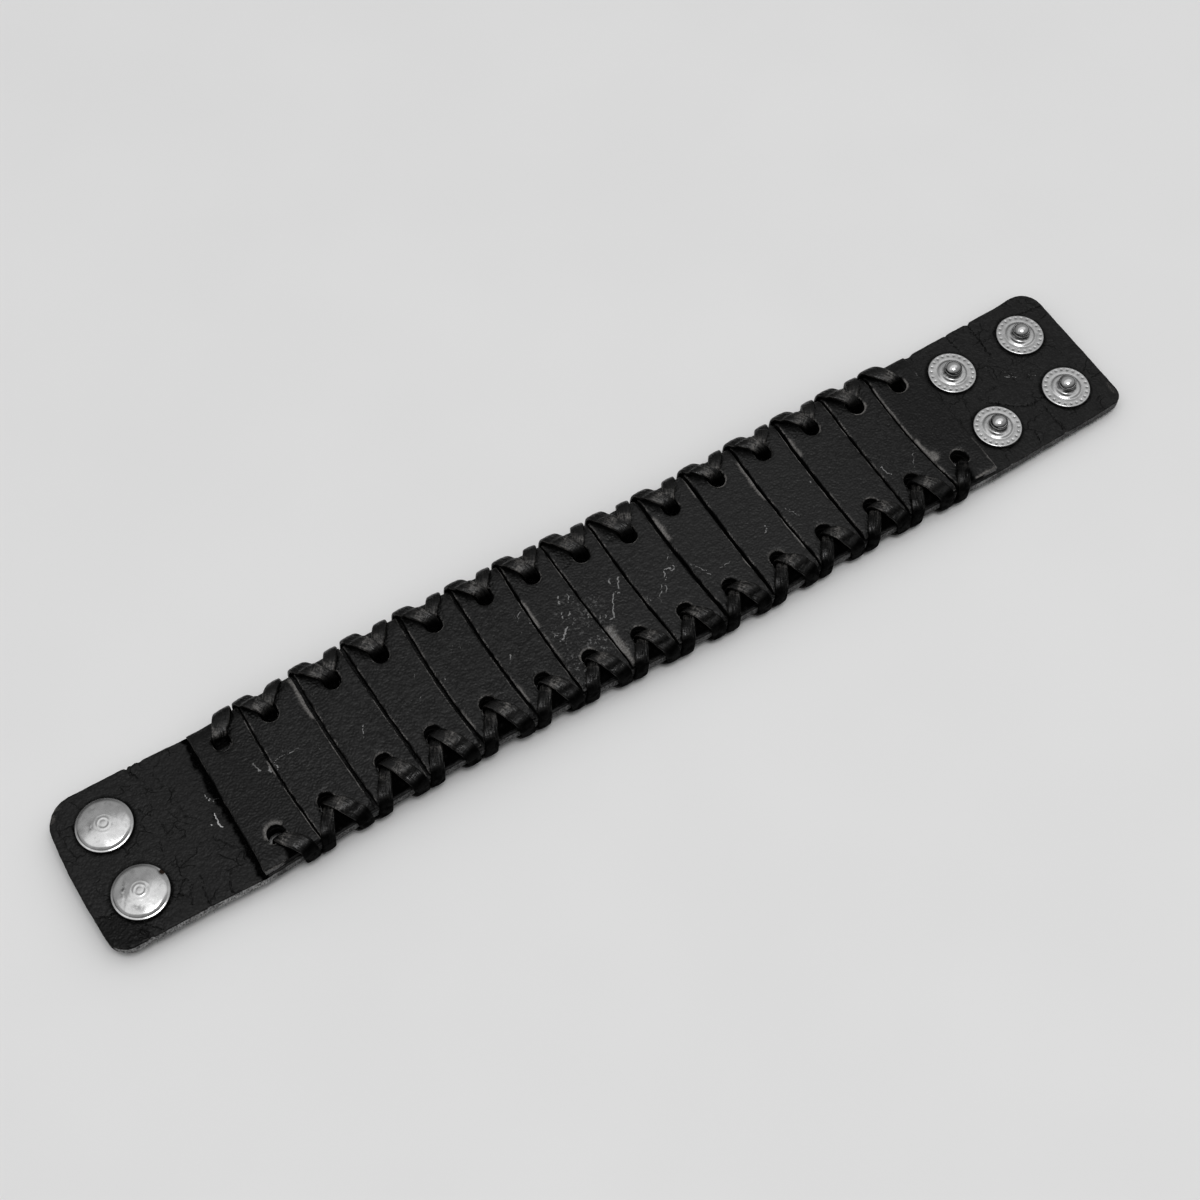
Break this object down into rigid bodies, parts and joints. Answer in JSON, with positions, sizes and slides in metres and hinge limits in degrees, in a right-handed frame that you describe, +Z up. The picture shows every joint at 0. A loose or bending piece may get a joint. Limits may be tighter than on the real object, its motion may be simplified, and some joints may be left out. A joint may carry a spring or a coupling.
{
  "type": "leather cuff bracelet",
  "caption": "Wide leather cuff bracelet lying open: a strap under a row of leather slats, laced along both edges, with domed snap caps on one end and studs on the other.",
  "frame": {"origin": "on the surface that the cuff lies on, under the middle of its box", "axes": "+X along the strap from the snap caps to the studs, +Y across the strap, +Z up out of the outer side"},
  "size_m": [0.252, 0.0399, 0.0099],
  "materials": {
    "strap_leather": "black vegetable tanned leather, dull and cracked, with rough grey cut edges",
    "slat_leather": "black finished leather with a fine grain, softly worn, with scratches and rubbed edges",
    "lace_leather": "black leather lace, smooth and slightly glossy",
    "nickel": "nickel plated snaps, softly scuffed"
  },
  "bodies": {
    "root": {"base_strap": "strap_leather", "slat_01": "slat_leather", "slat_02": "slat_leather", "slat_03": "slat_leather", "slat_04": "slat_leather", "slat_05": "slat_leather", "slat_06": "slat_leather", "slat_07": "slat_leather", "slat_08": "slat_leather", "slat_09": "slat_leather", "slat_10": "slat_leather", "slat_11": "slat_leather", "slat_12": "slat_leather", "slat_13": "slat_leather", "slat_14": "slat_leather", "slat_15": "slat_leather", "lace_far": "lace_leather", "lace_near": "lace_leather", "snap_cap_far": "nickel", "snap_cap_near": "nickel", "snap_socket_far": "nickel", "snap_socket_near": "nickel", "stud_inner_far": "nickel", "stud_inner_near": "nickel", "stud_outer_far": "nickel", "stud_outer_near": "nickel", "stud_back_inner_far": "nickel", "stud_back_inner_near": "nickel", "stud_back_outer_far": "nickel", "stud_back_outer_near": "nickel"}
  },
  "joints": []
}
